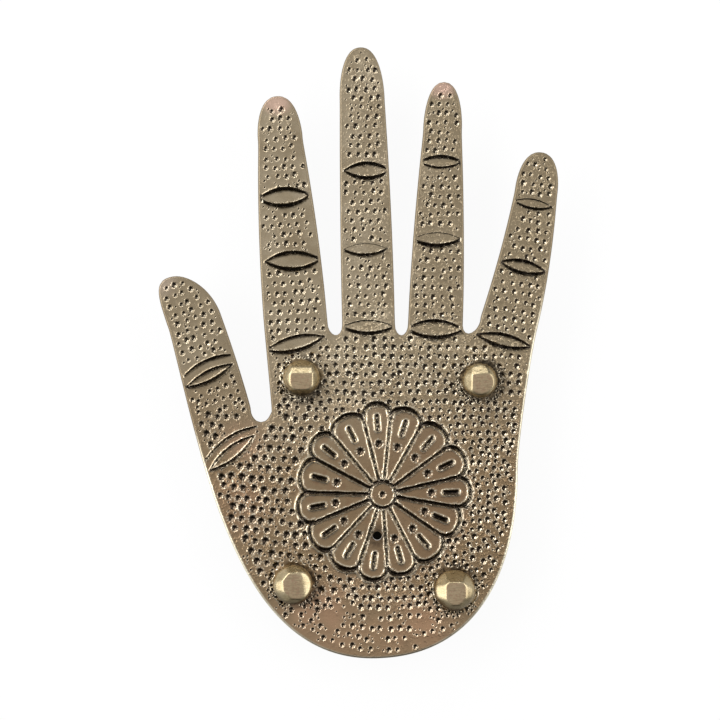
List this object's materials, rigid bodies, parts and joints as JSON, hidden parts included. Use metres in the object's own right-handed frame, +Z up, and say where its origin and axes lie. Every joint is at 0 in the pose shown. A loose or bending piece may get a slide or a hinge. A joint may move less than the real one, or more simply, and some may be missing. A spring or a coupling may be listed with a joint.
{
  "type": "incense holder",
  "caption": "Flat brass hand chased with a rosette, finger creases and punched dots, standing on studded feet, with a small hole that holds an incense stick.",
  "frame": {"origin": "centre of the holder's plan, on the surface that it stands on", "axes": "+Y towards the fingertips, +Z up out of the chased face, +X to the right when the fingers point away"},
  "size_m": [0.083, 0.127, 0.014],
  "materials": {
    "aged_brass": "antique, satin, with dark patina in the chasing",
    "bright_brass": "hand filed and polished"
  },
  "bodies": {
    "root": {"hand_plate": "aged_brass", "index_stud": "bright_brass", "little_stud": "bright_brass", "thumb_heel_stud": "bright_brass", "little_heel_stud": "bright_brass", "index_foot": "bright_brass", "little_foot": "bright_brass", "thumb_heel_foot": "bright_brass", "little_heel_foot": "bright_brass"}
  },
  "joints": []
}
